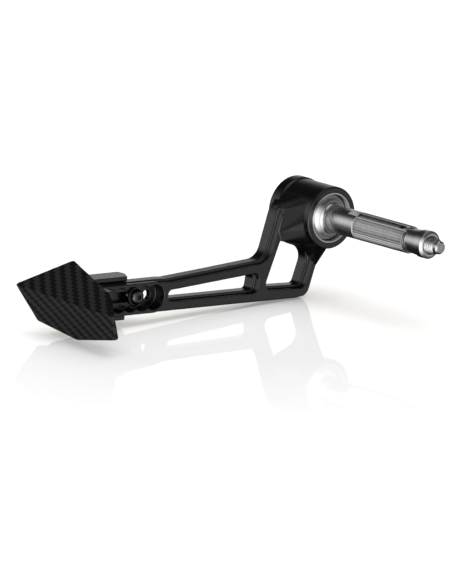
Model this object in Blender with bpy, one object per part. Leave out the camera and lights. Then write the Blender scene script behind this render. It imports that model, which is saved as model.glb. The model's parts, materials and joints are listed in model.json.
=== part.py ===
"""Brake lever guard for the end of a motorcycle handlebar.

A black arm turns on a plug that expands inside the handlebar's bore. A carrier
slides along the arm's tip on one screw and holds a carbon blade in front of the
brake lever. Lengths below are in millimetres, and MM turns them into metres.

Frame: the origin is the middle of the hub's inboard face, where it meets the
handlebar's end. The plug points to -Y, the arm reaches to -X and +Z is up.
"""

import math

import bmesh
import bpy
from mathutils import Matrix, Vector

MM = 0.001

# Clearance kept between neighbouring pieces
GAP = 0.3

# Hub of the arm
HUB_FRONT_RADIUS = 15.2
HUB_RIM_RADIUS = 15.8
HUB_RIM_FRONT = 22.0
HUB_LENGTH = 29.0
WEB_FRONT = 6.8
WEB_BACK = 10.8
BOLT_WELL_RADIUS = 7.4

# Arm plate: a base layer with a smaller raised layer on its inboard side
RAISED_FRONT = 15.7
BASE_FRONT = 19.0
ARM_BACK = 25.0
LEDGE = 1.25
LOWER_EDGE = -42.6
WINDOW_TOP_RADIUS = 17.3
ARM_TILT = math.radians(3.0)

# Tip of the arm, measured along its lower edge from under the hub
TIP_HEIGHT = 16.1
TIP_END = 138.0
REACH_STATIONS = 5
REACH_PITCH = 7.5
FIRST_STATION = 99.0
STATION_IN_USE = 1
POCKET_RADIUS = 6.1
TIP_RIM = 0.45
POCKET_FLOOR = 22.0
SLOT_HALF_WIDTH = 2.45

# Plug that expands in the handlebar
SHAFT_RADIUS = 6.75
SHAFT_END = -57.5
FLANGE_RADIUS = 11.2
FLANGE_FRONT = 2.6
FLANGE_BACK = 5.4
SPIGOT_RADIUS = 5.8
SPIGOT_END = 10.5
SAW_WIDTH = 3.0
SAW_ANGLE = math.radians(112.0)
SAW_REACH = 9.0
SAW_WIDE_END = -13.0
SAW_END = -18.5
TAPER = 0.10
MOUTH_RADIUS = 6.1
TAPER_DEPTH = 8.0
BUSH_OUTER = 12.3
BUSH_INNER = 11.5

# Cone nut and its clamp bolt, M8 x 90 with a dog point
CONE_START = -52.5
CONE_SHOULDER = -65.5
NOSE_RADIUS = 6.8
NOSE_END = -71.0
BOLT_RADIUS = 4.0
BOLT_END = -78.3
DOG_RADIUS = 3.2
DOG_START = -75.6
BOLT_SEAT = 13.0
BOLT_HEAD_RADIUS = 6.5
BOLT_HEAD_HEIGHT = 8.0
BOLT_SOCKET = 6.0
BOLT_SOCKET_DEPTH = 4.0
BOLT_WASHER_RADIUS = 7.0

# Carrier, in a frame that lies along the arm's tip with its origin at the screw
CARRIER_BACK = 31.3
FLANGE_REACH = 19.8
CARRIER_TOP = 10.6
CARRIER_BOTTOM = -10.7
CARRIER_HUB_END = 0.2
CHANNEL_HUB_END = -7.4
NECK_START = -39.6
NECK_END = -49.0
NECK_HALF_HEIGHT = 7.8
NECK_FRONT = 13.0
TONGUE_RADIUS = 5.6

# Reach screw, M4 x 10
SCREW_RADIUS = 2.0
SCREW_HEAD_RADIUS = 3.8
SCREW_HEAD_HEIGHT = 2.2
SCREW_SOCKET = 2.5
SCREW_SEAT = 20.6
SCREW_END = 30.6
INSERT_RADIUS = 3.2
INSERT_START = 25.6
INSERT_END = 31.0
WASHER_RADIUS = 4.5
WASHER_THICKNESS = 0.8

# Blade: its crease starts at the outboard corner and runs inboard
BLADE_CORNER = (-164.0, 43.0, -19.6)
BLADE_DROOP = math.radians(2.0)
BLADE_THICKNESS = 2.0
UPPER_LEAN = 0.10
LOWER_LEAN = 0.39
PAD_BACK = 9.5
BOSS_PLACES = {"outer": 36.0, "inner": 54.0}
BOSS_RADIUS = 3.2
BOSS_BACK = 6.7
BLADE_SCREW_END = -5.2

ROUND_STEPS = 48
SMALL_ROUND_STEPS = 24


def clear_scene():
    for item in list(bpy.data.objects):
        bpy.data.objects.remove(item, do_unlink=True)


def make_material(name, colour, roughness, metallic):
    material = bpy.data.materials.new(name)
    material.use_nodes = True
    shader = material.node_tree.nodes["Principled BSDF"]
    shader.inputs["Base Color"].default_value = (*colour, 1.0)
    shader.inputs["Roughness"].default_value = roughness
    shader.inputs["Metallic"].default_value = metallic
    return material


# ---------------------------------------------------------------- outlines

def rounded(corners, steps=4):
    """Closed outline whose corners (x, z, radius) are rounded with arcs."""
    points = []
    count = len(corners)
    for index, (x, z, radius) in enumerate(corners):
        here = Vector((x, z))
        before = (Vector(corners[index - 1][:2]) - here).normalized()
        after = (Vector(corners[(index + 1) % count][:2]) - here).normalized()
        if radius <= 0.0:
            points.append((x, z))
            continue
        half = 0.5 * before.angle(after)
        reach = radius / math.tan(half)
        centre = here + (before + after).normalized() * (radius / math.sin(half))
        start = here + before * reach - centre
        turn = start.angle_signed(here + after * reach - centre)
        for step in range(steps + 1):
            arm = Matrix.Rotation(-turn * step / steps, 2) @ start
            points.append(tuple(centre + arm))
    return points


def arc(centre, radius, start, end, steps):
    """Points on an arc from start to end, in degrees from +X towards +Z."""
    points = []
    for step in range(steps + 1):
        angle = math.radians(start + (end - start) * step / steps)
        points.append((centre[0] + radius * math.cos(angle), centre[1] + radius * math.sin(angle)))
    return points


def grown(outline, distance):
    """The outline moved outwards by distance, or inwards when it is negative."""
    count = len(outline)
    area = sum(outline[i - 1][0] * outline[i][1] - outline[i][0] * outline[i - 1][1] for i in range(count))
    side = 1.0 if area > 0.0 else -1.0
    moved = []
    for index in range(count):
        here = Vector(outline[index])
        before = (here - Vector(outline[index - 1])).normalized()
        after = (Vector(outline[(index + 1) % count]) - here).normalized()
        normal_before = Vector((before.y, -before.x)) * side
        normal_after = Vector((after.y, -after.x)) * side
        middle = (normal_before + normal_after).normalized()
        moved.append(tuple(here + middle * (distance / middle.dot(normal_after))))
    return moved


def along_tip(distance, height):
    """Point (x, z) at a distance along the arm's lower edge and a height over it."""
    x = -distance * math.cos(ARM_TILT) + height * math.sin(ARM_TILT)
    z = LOWER_EDGE + distance * math.sin(ARM_TILT) + height * math.cos(ARM_TILT)
    return x, z


# ---------------------------------------------------------------- solids

def finish(name, bm, material, hidden=False):
    """Turn a bmesh in millimetres into a named object in metres."""
    bmesh.ops.remove_doubles(bm, verts=bm.verts, dist=0.0001)
    bmesh.ops.recalc_face_normals(bm, faces=bm.faces)
    bmesh.ops.scale(bm, vec=(MM, MM, MM), verts=bm.verts)
    mesh = bpy.data.meshes.new(name)
    bm.to_mesh(mesh)
    bm.free()
    mesh.shade_smooth()
    mesh.set_sharp_from_angle(angle=math.radians(32.0))
    item = bpy.data.objects.new(name, mesh)
    bpy.context.scene.collection.objects.link(item)
    if material:
        mesh.materials.append(material)
    if hidden:
        item.hide_render = True
        item.display_type = "WIRE"
    return item


def prism(outline, front, back):
    """Outline (x, z) extruded along Y from front to back."""
    bm = bmesh.new()
    near = [bm.verts.new((x, front, z)) for x, z in outline]
    far = [bm.verts.new((x, back, z)) for x, z in outline]
    bm.faces.new(near)
    bm.faces.new(list(reversed(far)))
    for index in range(len(outline)):
        bm.faces.new((near[index - 1], far[index - 1], far[index], near[index]))
    return bm


def turned(profile, steps=ROUND_STEPS, offset=0.0):
    """Profile (radius, y) turned about Y; it ends on the axis or closes on itself.

    The facets start offset steps round from +X.
    """
    bm = bmesh.new()
    rings = []
    for radius, y in profile:
        if radius == 0.0:
            rings.append([bm.verts.new((0.0, y, 0.0))])
            continue
        ring = []
        for step in range(steps):
            angle = 2.0 * math.pi * (step + offset) / steps
            ring.append(bm.verts.new((radius * math.cos(angle), y, radius * math.sin(angle))))
        rings.append(ring)
    pairs = list(zip(rings, rings[1:]))
    if profile[0][0] > 0.0:
        pairs.append((rings[-1], rings[0]))
    for first, second in pairs:
        for step in range(steps):
            following = (step + 1) % steps
            corners = [first[step % len(first)], first[following % len(first)]]
            corners += [second[following % len(second)], second[step % len(second)]]
            bm.faces.new(list(dict.fromkeys(corners)))
    return bm


def hull(points):
    bm = bmesh.new()
    for point in points:
        bm.verts.new(point)
    made = bmesh.ops.convex_hull(bm, input=bm.verts)
    unused = [item for item in made["geom_interior"] if isinstance(item, bmesh.types.BMVert)]
    bmesh.ops.delete(bm, geom=unused, context="VERTS")
    return bm


def boolean(target, cutter, operation):
    modifier = target.modifiers.new(cutter.name, "BOOLEAN")
    modifier.operation = operation
    modifier.object = cutter


def add(target, name, bm):
    boolean(target, finish(name, bm, None, hidden=True), "UNION")


def cut(target, name, bm):
    boolean(target, finish(name, bm, None, hidden=True), "DIFFERENCE")


def hexagon(across_flats):
    radius = across_flats / math.sqrt(3.0)
    return arc((0.0, 0.0), radius, 0.0, 300.0, 5)


def hold(children, parent):
    """Parent the children without moving them."""
    bpy.context.view_layer.update()
    for child in children:
        child.parent = parent
        child.matrix_parent_inverse = parent.matrix_world.inverted()


def joint_empty(name, place, tilt=0.0):
    empty = bpy.data.objects.new(name, None)
    empty.empty_display_size = 10.0 * MM
    empty.location = Vector(place) * MM
    empty.rotation_euler = (0.0, tilt, 0.0)
    bpy.context.scene.collection.objects.link(empty)
    return empty


# ---------------------------------------------------------------- arm

def arm_outline():
    """Base layer: round the hub, down both legs and out along the beam to the tip."""
    around_hub = arc((0.0, 0.0), HUB_FRONT_RADIUS - 0.1, -24.0, 150.0, 24)
    outside = [
        (-18.2, 3.2, 3.5),
        (-26.1, -20.7, 8.0),
        (-60.0, -21.7, 0.0),
        (-88.0, -22.3, 0.0),
        (*along_tip(92.5, TIP_HEIGHT), 5.0),
        (*along_tip(TIP_END, TIP_HEIGHT), 5.5),
        (*along_tip(TIP_END, 0.0), 5.5),
        (0.4, LOWER_EDGE - 0.03, 6.5),
    ]
    corners = [(x, z, 0.0) for x, z in around_hub] + outside
    return rounded(corners, steps=5)


def window_outline():
    """Opening between the legs, under the hub."""
    top = arc((0.0, 0.0), WINDOW_TOP_RADIUS, 222.0, 250.0, 4)
    corners = [(-15.9, -8.7, 2.2)]
    corners += [(x, z, 0.0) for x, z in top]
    corners += [(3.4, -19.7, 6.5), (-2.9, -36.2, 2.5), (-27.0, -34.3, 2.5)]
    return rounded(corners)


def beam_slot_outline():
    """Tapered opening between the arm's two beams."""
    corners = [(-32.0, -26.9, 2.2), (-33.4, -34.9, 2.2), (-88.6, -31.9, 1.7), (-88.6, -28.1, 1.7)]
    return rounded(corners)


def station(index):
    return along_tip(FIRST_STATION + REACH_PITCH * index, 0.5 * TIP_HEIGHT)


def pocket_outline():
    """Overlapping round pockets, one at each place where the screw can sit."""
    overlap = math.degrees(math.acos(0.5 * REACH_PITCH / POCKET_RADIUS))
    tilt = -math.degrees(ARM_TILT)
    last = REACH_STATIONS - 1
    points = []
    for index in range(REACH_STATIONS):
        start = tilt if index == 0 else tilt + overlap
        end = tilt + 180.0 if index == last else tilt + 180.0 - overlap
        points += arc(station(index), POCKET_RADIUS, start, end, 7)[:-1]
    for index in reversed(range(REACH_STATIONS)):
        start = tilt + 180.0 if index == last else tilt + 180.0 + overlap
        end = tilt + 360.0 if index == 0 else tilt + 360.0 - overlap
        points += arc(station(index), POCKET_RADIUS, start, end, 7)[:-1]
    return points


def tip_pad_outline():
    """Raised face round the pocket, nearly as tall as the tip and round at the hub's end."""
    half = 0.5 * TIP_HEIGHT - TIP_RIM
    tilt = -math.degrees(ARM_TILT)
    hub_end = arc(station(0), half, tilt - 90.0, tilt + 90.0, 12)
    corners = [(x, z, 0.0) for x, z in hub_end]
    corners.append((*along_tip(TIP_END - TIP_RIM, TIP_HEIGHT - TIP_RIM), 5.0))
    corners.append((*along_tip(TIP_END - TIP_RIM, TIP_RIM), 5.0))
    return rounded(corners)


def screw_slot_outline():
    """Slot through the pocket's floor, from the station in use to the outermost one."""
    tilt = -math.degrees(ARM_TILT)
    hub_end = arc(station(STATION_IN_USE), SLOT_HALF_WIDTH, tilt - 90.0, tilt + 90.0, 8)
    far_end = arc(station(REACH_STATIONS - 1), SLOT_HALF_WIDTH, tilt + 90.0, tilt + 270.0, 8)
    return hub_end + far_end


def short_station_outline():
    """Round hole at the station nearest the hub, for the shortest reach."""
    return arc(station(0), SLOT_HALF_WIDTH, 0.0, 345.0, 23)


def hub_barrel():
    """Barrel with a slightly wider rim at its outboard end."""
    edge = 0.5
    rim_step = HUB_RIM_RADIUS - HUB_FRONT_RADIUS
    return turned([
        (0.0, 0.0),
        (HUB_FRONT_RADIUS - edge, 0.0),
        (HUB_FRONT_RADIUS, edge),
        (HUB_FRONT_RADIUS, HUB_RIM_FRONT),
        (HUB_RIM_RADIUS, HUB_RIM_FRONT + rim_step),
        (HUB_RIM_RADIUS, HUB_LENGTH - 2.0 * edge),
        (HUB_RIM_RADIUS - 2.0 * edge, HUB_LENGTH),
        (0.0, HUB_LENGTH),
    ])


def leg_flare(start, end, root):
    """Sloping flank from the barrel, between two angles round it, to the top of one leg."""
    ring = arc((0.0, 0.0), HUB_FRONT_RADIUS - 0.15, start, end, 12)
    points = [(x, 3.0, z) for x, z in ring]
    points += [(x, RAISED_FRONT + 0.4, z) for x, z in ring]
    points += [(x, RAISED_FRONT + 0.4, z) for x, z in root]
    points += [(x, RAISED_FRONT, z) for x, z in root]
    return hull(points)


def hub_bores():
    """Bush bore from the front, hole through the web, well for the bolt's head behind."""
    return turned([
        (0.0, -1.0),
        (BUSH_OUTER + GAP, -1.0),
        (BUSH_OUTER + GAP, WEB_FRONT),
        (SPIGOT_RADIUS + GAP, WEB_FRONT),
        (SPIGOT_RADIUS + GAP, WEB_BACK),
        (BOLT_WELL_RADIUS, WEB_BACK),
        (BOLT_WELL_RADIUS, HUB_LENGTH + 1.0),
        (0.0, HUB_LENGTH + 1.0),
    ], offset=0.5)


def guard_arm(material):
    outline = arm_outline()
    window = window_outline()
    beam_slot = beam_slot_outline()
    arm = finish("guard_arm", prism(outline, BASE_FRONT, ARM_BACK), material)
    cut(arm, "window_through", prism(window, BASE_FRONT - 2.0, ARM_BACK + 2.0))
    cut(arm, "beam_slot_through", prism(beam_slot, BASE_FRONT - 2.0, ARM_BACK + 2.0))
    raised_plate = prism(grown(outline, -LEDGE), RAISED_FRONT, BASE_FRONT + 0.5)
    raised = finish("raised_layer", raised_plate, None, True)
    cut(raised, "window_ledge", prism(grown(window, LEDGE), RAISED_FRONT - 2.0, BASE_FRONT + 2.0))
    cut(raised, "beam_slot_ledge", prism(grown(beam_slot, LEDGE), RAISED_FRONT - 2.0, BASE_FRONT + 2.0))
    boolean(arm, raised, "UNION")
    add(arm, "tip_pad", prism(tip_pad_outline(), RAISED_FRONT, BASE_FRONT + 0.6))
    add(arm, "hub_barrel", hub_barrel())
    add(arm, "left_flare", leg_flare(140.0, 290.0, [(-16.8, 2.2), (-19.8, -7.6), (-18.2, -12.2)]))
    add(arm, "right_flare", leg_flare(200.0, 272.0, [(12.0, -9.5), (4.8, -27.0), (2.6, -21.0)]))
    cut(arm, "hub_bores", hub_bores())
    cut(arm, "screw_pocket", prism(pocket_outline(), RAISED_FRONT - 2.0, POCKET_FLOOR))
    cut(arm, "screw_slot", prism(screw_slot_outline(), POCKET_FLOOR - 1.0, ARM_BACK + 1.0))
    cut(arm, "short_station", prism(short_station_outline(), POCKET_FLOOR - 1.0, ARM_BACK + 1.0))
    return arm


# ---------------------------------------------------------------- plug

def bar_end_adapter(material):
    """Flange that sits in the hub, and the sleeve that expands in the bar."""
    bore = BOLT_RADIUS + GAP
    fillet = [(x, y) for x, y in arc((SHAFT_RADIUS + 2.4, -2.4), 2.4, 180.0, 105.0, 5)]
    taper_start = SHAFT_END + TAPER_DEPTH
    profile = [(bore, SPIGOT_END), (SPIGOT_RADIUS, SPIGOT_END), (SPIGOT_RADIUS, FLANGE_BACK),
               (FLANGE_RADIUS, FLANGE_BACK), (FLANGE_RADIUS, FLANGE_FRONT)]
    profile += list(reversed(fillet))
    profile += [(SHAFT_RADIUS, SHAFT_END + 0.5), (SHAFT_RADIUS - 0.5, SHAFT_END), (MOUTH_RADIUS, SHAFT_END),
                (MOUTH_RADIUS - TAPER * TAPER_DEPTH, taper_start), (bore, taper_start + 1.2)]
    adapter = finish("bar_end_adapter", turned(profile), material)
    saw = [
        (-SAW_REACH, SHAFT_END - 2.0),
        (SAW_REACH, SHAFT_END - 2.0),
        (SAW_REACH, SAW_WIDE_END),
        (bore, SAW_END),
        (-bore, SAW_END),
        (-SAW_REACH, SAW_WIDE_END),
    ]
    cutter = prism(saw, -0.5 * SAW_WIDTH, 0.5 * SAW_WIDTH)
    across = Vector((math.cos(SAW_ANGLE), 0.0, math.sin(SAW_ANGLE)))
    lengthwise = Vector((0.0, 1.0, 0.0))
    axes = Matrix((across, lengthwise.cross(across), lengthwise)).transposed().to_4x4()
    bmesh.ops.transform(cutter, matrix=axes, verts=cutter.verts)
    cut(adapter, "saw_cut", cutter)
    return adapter


def ring(name, inner, outer, front, back, material, steps=ROUND_STEPS):
    section = [(inner, front), (outer, front), (outer, back), (inner, back)]
    return finish(name, turned(section, steps), material)


def expander_cone(material):
    def taper_radius(y):
        return MOUTH_RADIUS - 0.35 - TAPER * (y - SHAFT_END)

    bore = BOLT_RADIUS + GAP
    profile = [
        (bore, CONE_START),
        (taper_radius(CONE_START) - 0.3, CONE_START),
        (taper_radius(CONE_START + 0.3), CONE_START - 0.3),
        (taper_radius(CONE_SHOULDER), CONE_SHOULDER),
        (NOSE_RADIUS, CONE_SHOULDER - 0.1),
        (NOSE_RADIUS, NOSE_END + 0.9),
        (NOSE_RADIUS - 0.9, NOSE_END),
        (bore, NOSE_END),
    ]
    return finish("expander_cone", turned(profile), material)


def clamp_bolt(material):
    head = BOLT_SEAT + BOLT_HEAD_HEIGHT
    profile = [
        (0.0, BOLT_END),
        (DOG_RADIUS - 0.6, BOLT_END),
        (DOG_RADIUS, BOLT_END + 0.6),
        (DOG_RADIUS, DOG_START),
        (BOLT_RADIUS, DOG_START + 0.8),
        (BOLT_RADIUS, BOLT_SEAT),
        (BOLT_HEAD_RADIUS, BOLT_SEAT),
        (BOLT_HEAD_RADIUS, head - 0.5),
        (BOLT_HEAD_RADIUS - 0.5, head),
        (0.0, head),
    ]
    bolt = finish("clamp_bolt", turned(profile, SMALL_ROUND_STEPS), material)
    cut(bolt, "bolt_socket", prism(hexagon(BOLT_SOCKET), head - BOLT_SOCKET_DEPTH, head + 1.0))
    return bolt


# ---------------------------------------------------------------- carrier and blade

def blade_frame():
    """Blade axes: X to the back, -Y inboard along the crease, Z up."""
    return Matrix.Translation(BLADE_CORNER) @ Matrix.Rotation(BLADE_DROOP, 4, "X")


def blade_outline():
    """Seen from the front: distance inboard from the corner, height over the crease."""
    corners = [(0.8, 0.0, 0.0), (2.2, 1.3, 0.0), (37.3, 19.7, 0.8), (66.5, 9.2, 9.0), (70.4, 0.0, 0.0),
               (68.8, -12.6, 3.0), (37.8, -19.9, 1.5), (10.5, -16.4, 1.5), (2.0, -2.2, 0.0)]
    return rounded(corners, steps=4)


def carbon_blade(material):
    """Shield folded along its crease, with both halves leaning back."""
    outline = blade_outline()
    bm = bmesh.new()
    pairs = []
    for inboard, height in outline:
        lean = UPPER_LEAN if height > 0.0 else LOWER_LEAN
        front = lean * abs(height)
        near = bm.verts.new((front, -inboard, height))
        far = bm.verts.new((front + BLADE_THICKNESS, -inboard, height))
        pairs.append((near, far))
    crease_end = [height for inboard, height in outline].index(0.0, 1)
    upper = pairs[:crease_end + 1]
    lower = pairs[crease_end:] + pairs[:1]
    for half in (upper, lower):
        bm.faces.new([near for near, far in half])
        bm.faces.new([far for near, far in reversed(half)])
        for first, second in zip(half, half[1:]):
            bm.faces.new((first[0], first[1], second[1], second[0]))
    bmesh.ops.transform(bm, matrix=blade_frame(), verts=bm.verts)
    return finish("carbon_blade", bm, material)


def carrier_frame():
    """Carrier axes: origin on the screw's axis, X along the tip towards the hub."""
    x, z = station(STATION_IN_USE)
    return Matrix.Translation((x, 0.0, z)) @ Matrix.Rotation(ARM_TILT, 4, "Y")


def placed(bm, matrix):
    bmesh.ops.transform(bm, matrix=matrix, verts=bm.verts)
    return bm


def plan_prism(outline, low, high):
    """Outline (x, y) extruded along Z from low to high."""
    turn = Matrix.Rotation(math.radians(-90.0), 4, "X")
    return placed(prism(outline, -high, -low), turn)


def pad_solid():
    """Pad behind the blade: its front follows the fold, its back is flat."""
    top, bottom = 9.0, -12.0
    start, end = 20.0, 60.0
    clear = BLADE_THICKNESS + GAP
    section = [(clear, 0.0), (clear + UPPER_LEAN * top, top), (PAD_BACK, top), (PAD_BACK, bottom),
               (clear - LOWER_LEAN * bottom, bottom)]
    return placed(prism(section, -end, -start), blade_frame())


def across_blade(bm, inboard):
    """Turn a solid made about Y so that its axis crosses the blade at a place on the crease."""
    turn = Matrix.Rotation(math.radians(-90.0), 4, "Z")
    return placed(bm, blade_frame() @ Matrix.Translation((0.0, -inboard, 0.0)) @ turn)


def blade_carrier(material):
    """Channel that slides on the arm's edges, with a neck and a pad for the blade."""
    frame = carrier_frame()
    half_arm = 0.5 * TIP_HEIGHT + GAP
    body = rounded([(NECK_END + 2.0, CARRIER_BOTTOM, 4.5), (CARRIER_HUB_END, CARRIER_BOTTOM, 4.5),
                    (CARRIER_HUB_END, CARRIER_TOP, 4.5), (NECK_END + 2.0, CARRIER_TOP, 4.5)])
    carrier = finish("blade_carrier", placed(prism(body, FLANGE_REACH, CARRIER_BACK), frame), material)
    channel = [(NECK_START, -half_arm), (10.0, -half_arm), (10.0, half_arm), (NECK_START, half_arm)]
    cut(carrier, "channel", placed(prism(channel, 5.0, ARM_BACK + GAP), frame))
    slant = [(CHANNEL_HUB_END, FLANGE_REACH), (CARRIER_HUB_END, CARRIER_BACK), (20.0, CARRIER_BACK),
             (20.0, FLANGE_REACH - 5.0), (CHANNEL_HUB_END - 4.0, FLANGE_REACH - 5.0)]
    cut(carrier, "slanted_end", placed(plan_prism(slant, -20.0, 20.0), frame))
    tongue = arc((0.0, 0.0), TONGUE_RADIUS, -90.0, 90.0, 10)
    tongue += [(-8.0, TONGUE_RADIUS), (-8.0, -TONGUE_RADIUS)]
    add(carrier, "tongue", placed(prism(tongue, ARM_BACK + GAP, CARRIER_BACK), frame))
    neck = rounded([
        (NECK_END, -NECK_HALF_HEIGHT, 0.0),
        (NECK_START - 0.5, -NECK_HALF_HEIGHT, 2.0),
        (NECK_START - 0.5, NECK_HALF_HEIGHT, 2.0),
        (NECK_END, NECK_HALF_HEIGHT, 0.0),
    ])
    add(carrier, "neck", placed(prism(neck, NECK_FRONT, CARRIER_BACK - 0.4), frame))
    add(carrier, "pad", pad_solid())
    hole_radius = INSERT_RADIUS + GAP
    insert_hole = turned([
        (0.0, ARM_BACK - 1.0),
        (hole_radius, ARM_BACK - 1.0),
        (hole_radius, CARRIER_BACK + 1.0),
        (0.0, CARRIER_BACK + 1.0),
    ], SMALL_ROUND_STEPS)
    cut(carrier, "insert_hole", placed(insert_hole, frame))
    for place, inboard in BOSS_PLACES.items():
        wide = BOSS_RADIUS + GAP
        narrow = 2.4
        hole = turned([(0.0, 0.0), (wide, 0.0), (wide, 7.0), (narrow, 7.0), (narrow, 20.0), (0.0, 20.0)],
                      SMALL_ROUND_STEPS)
        cut(carrier, place + "_boss_hole", across_blade(hole, inboard))
    return carrier


def thread_insert(material):
    bore = SCREW_RADIUS + GAP
    insert = turned([
        (bore, INSERT_START),
        (INSERT_RADIUS, INSERT_START),
        (INSERT_RADIUS, INSERT_END),
        (bore, INSERT_END),
    ], SMALL_ROUND_STEPS)
    return finish("reach_screw_insert", placed(insert, carrier_frame()), material)


def plain_washer(back):
    front = back - WASHER_THICKNESS
    bore = SCREW_RADIUS + GAP
    section = [(bore, front), (WASHER_RADIUS, front), (WASHER_RADIUS, back), (bore, back)]
    return turned(section, SMALL_ROUND_STEPS)


def reach_washer(material):
    return finish("reach_washer", placed(plain_washer(POCKET_FLOOR - GAP), carrier_frame()), material)


def button_head(radius, seat, height):
    """Domed head of a button screw, from its seat to its flat top, facing -Y."""
    top = seat - height
    return [(0.0, top), (0.55 * radius, top), (0.82 * radius, top + 0.3 * height),
            (0.97 * radius, top + 0.7 * height), (radius, seat)]


def button_screw(name, seat, end, material, place):
    profile = button_head(SCREW_HEAD_RADIUS, seat, SCREW_HEAD_HEIGHT)
    profile += [(SCREW_RADIUS, seat), (SCREW_RADIUS, end - 0.4), (SCREW_RADIUS - 0.4, end), (0.0, end)]
    screw = finish(name, place(turned(profile, SMALL_ROUND_STEPS)), material)
    cut(screw, name + "_socket", place(prism(hexagon(SCREW_SOCKET), seat - 4.0, seat - 0.9)))
    return screw


def blade_boss(place, inboard, material):
    """Threaded boss bonded to the blade's back."""
    front = BLADE_THICKNESS + 1.7
    bore = SCREW_RADIUS + GAP
    boss = turned([(bore, front), (BOSS_RADIUS, front), (BOSS_RADIUS, BOSS_BACK), (bore, BOSS_BACK)],
                  SMALL_ROUND_STEPS)
    return finish("blade_boss_" + place, across_blade(boss, inboard), material)


def from_behind(inboard):
    """Placer for a screw made facing -Y that goes into the pad from its back."""
    turn = Matrix.Rotation(math.radians(90.0), 4, "Z")
    return lambda bm: placed(bm, blade_frame() @ Matrix.Translation((0.0, -inboard, 0.0)) @ turn)


def blade_washer(place, inboard, material):
    washer = plain_washer(-(PAD_BACK + GAP))
    return finish("blade_washer_" + place, from_behind(inboard)(washer), material)


def main():
    clear_scene()
    anodised = make_material("black_anodised_aluminium", (0.012, 0.012, 0.013), 0.38, 0.85)
    turned_alloy = make_material("turned_aluminium", (0.62, 0.62, 0.61), 0.32, 1.0)
    steel = make_material("zinc_plated_steel", (0.52, 0.53, 0.54), 0.28, 1.0)
    polymer = make_material("white_polymer_washer", (0.75, 0.74, 0.70), 0.5, 0.0)
    carbon = make_material("twill_carbon", (0.03, 0.03, 0.032), 0.35, 0.2)

    bar_end_adapter(turned_alloy)
    web_face = WEB_FRONT - GAP
    on_arm = [
        guard_arm(anodised),
        ring("hub_bush", BUSH_INNER, BUSH_OUTER, 0.0, web_face, turned_alloy),
        ring("thrust_washer", SPIGOT_RADIUS + GAP, BUSH_INNER - GAP, FLANGE_BACK + GAP, web_face, polymer),
        ring("bolt_washer", BOLT_RADIUS + GAP, BOLT_WASHER_RADIUS, WEB_BACK + GAP, BOLT_SEAT - GAP, steel),
    ]
    hub_axis = joint_empty("hub_axis", (0.0, 0.0, 0.0))
    hold(on_arm, hub_axis)
    on_bolt = [clamp_bolt(steel)]
    hold(on_bolt, joint_empty("bolt_axis", (0.0, BOLT_SEAT, 0.0)))
    on_cone = [expander_cone(turned_alloy)]
    hold(on_cone, joint_empty("cone_axis", (0.0, CONE_START, 0.0)))
    on_carrier = [
        blade_carrier(anodised),
        thread_insert(steel),
        carbon_blade(carbon),
    ]
    for place, inboard in BOSS_PLACES.items():
        on_carrier.append(blade_boss(place, inboard, turned_alloy))
        on_carrier.append(blade_washer(place, inboard, steel))
        seat = -(PAD_BACK + GAP + WASHER_THICKNESS + GAP)
        on_carrier.append(button_screw("blade_screw_" + place, seat, BLADE_SCREW_END, steel,
                                       from_behind(inboard)))
    x, z = station(STATION_IN_USE)
    carrier_axis = joint_empty("carrier_axis", (x, 0.0, z), ARM_TILT)
    hold(on_carrier, carrier_axis)
    frame = carrier_frame()
    on_screw = [
        button_screw("reach_screw", SCREW_SEAT, SCREW_END, steel, lambda bm: placed(bm, frame)),
    ]
    hold(on_screw, joint_empty("reach_screw_axis", (x, SCREW_SEAT, z), ARM_TILT))
    hold([reach_washer(steel)], carrier_axis)


main()
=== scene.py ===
"""Looks of the brake lever guard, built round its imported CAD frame.

Meshes are made in millimetres in the row frame and turned into metres by piece().
The hub's axis is Y, the plug points to -Y, the arm reaches to -X and +Z is up.
"""

import json
import math

import bmesh
import bpy
from mathutils import Matrix, Vector

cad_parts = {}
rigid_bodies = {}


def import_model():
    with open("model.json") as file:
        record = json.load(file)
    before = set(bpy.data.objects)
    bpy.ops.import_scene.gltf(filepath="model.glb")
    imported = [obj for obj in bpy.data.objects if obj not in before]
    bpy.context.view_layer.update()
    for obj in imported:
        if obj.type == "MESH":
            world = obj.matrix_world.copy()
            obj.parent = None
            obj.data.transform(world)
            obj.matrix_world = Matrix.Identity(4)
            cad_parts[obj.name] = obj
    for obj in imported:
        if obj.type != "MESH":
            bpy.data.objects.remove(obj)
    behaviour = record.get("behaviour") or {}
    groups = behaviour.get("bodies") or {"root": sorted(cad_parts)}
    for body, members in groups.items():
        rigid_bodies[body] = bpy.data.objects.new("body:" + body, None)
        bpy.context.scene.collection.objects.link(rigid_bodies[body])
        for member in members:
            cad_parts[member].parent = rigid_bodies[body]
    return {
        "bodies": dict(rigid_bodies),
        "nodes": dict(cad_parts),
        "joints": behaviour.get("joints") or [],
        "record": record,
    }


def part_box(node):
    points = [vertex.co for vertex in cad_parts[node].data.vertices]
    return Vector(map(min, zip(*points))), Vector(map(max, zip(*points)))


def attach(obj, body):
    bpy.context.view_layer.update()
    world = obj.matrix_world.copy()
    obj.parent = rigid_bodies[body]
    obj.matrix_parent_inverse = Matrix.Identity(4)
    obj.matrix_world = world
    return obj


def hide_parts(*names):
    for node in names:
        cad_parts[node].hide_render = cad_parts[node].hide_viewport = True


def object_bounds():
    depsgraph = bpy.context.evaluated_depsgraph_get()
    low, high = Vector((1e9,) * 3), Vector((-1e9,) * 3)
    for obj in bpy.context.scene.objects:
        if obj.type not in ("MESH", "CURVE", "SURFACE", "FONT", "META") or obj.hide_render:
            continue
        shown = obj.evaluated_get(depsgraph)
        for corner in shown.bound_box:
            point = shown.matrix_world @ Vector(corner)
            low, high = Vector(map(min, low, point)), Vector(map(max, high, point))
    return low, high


MM = 0.001

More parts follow.
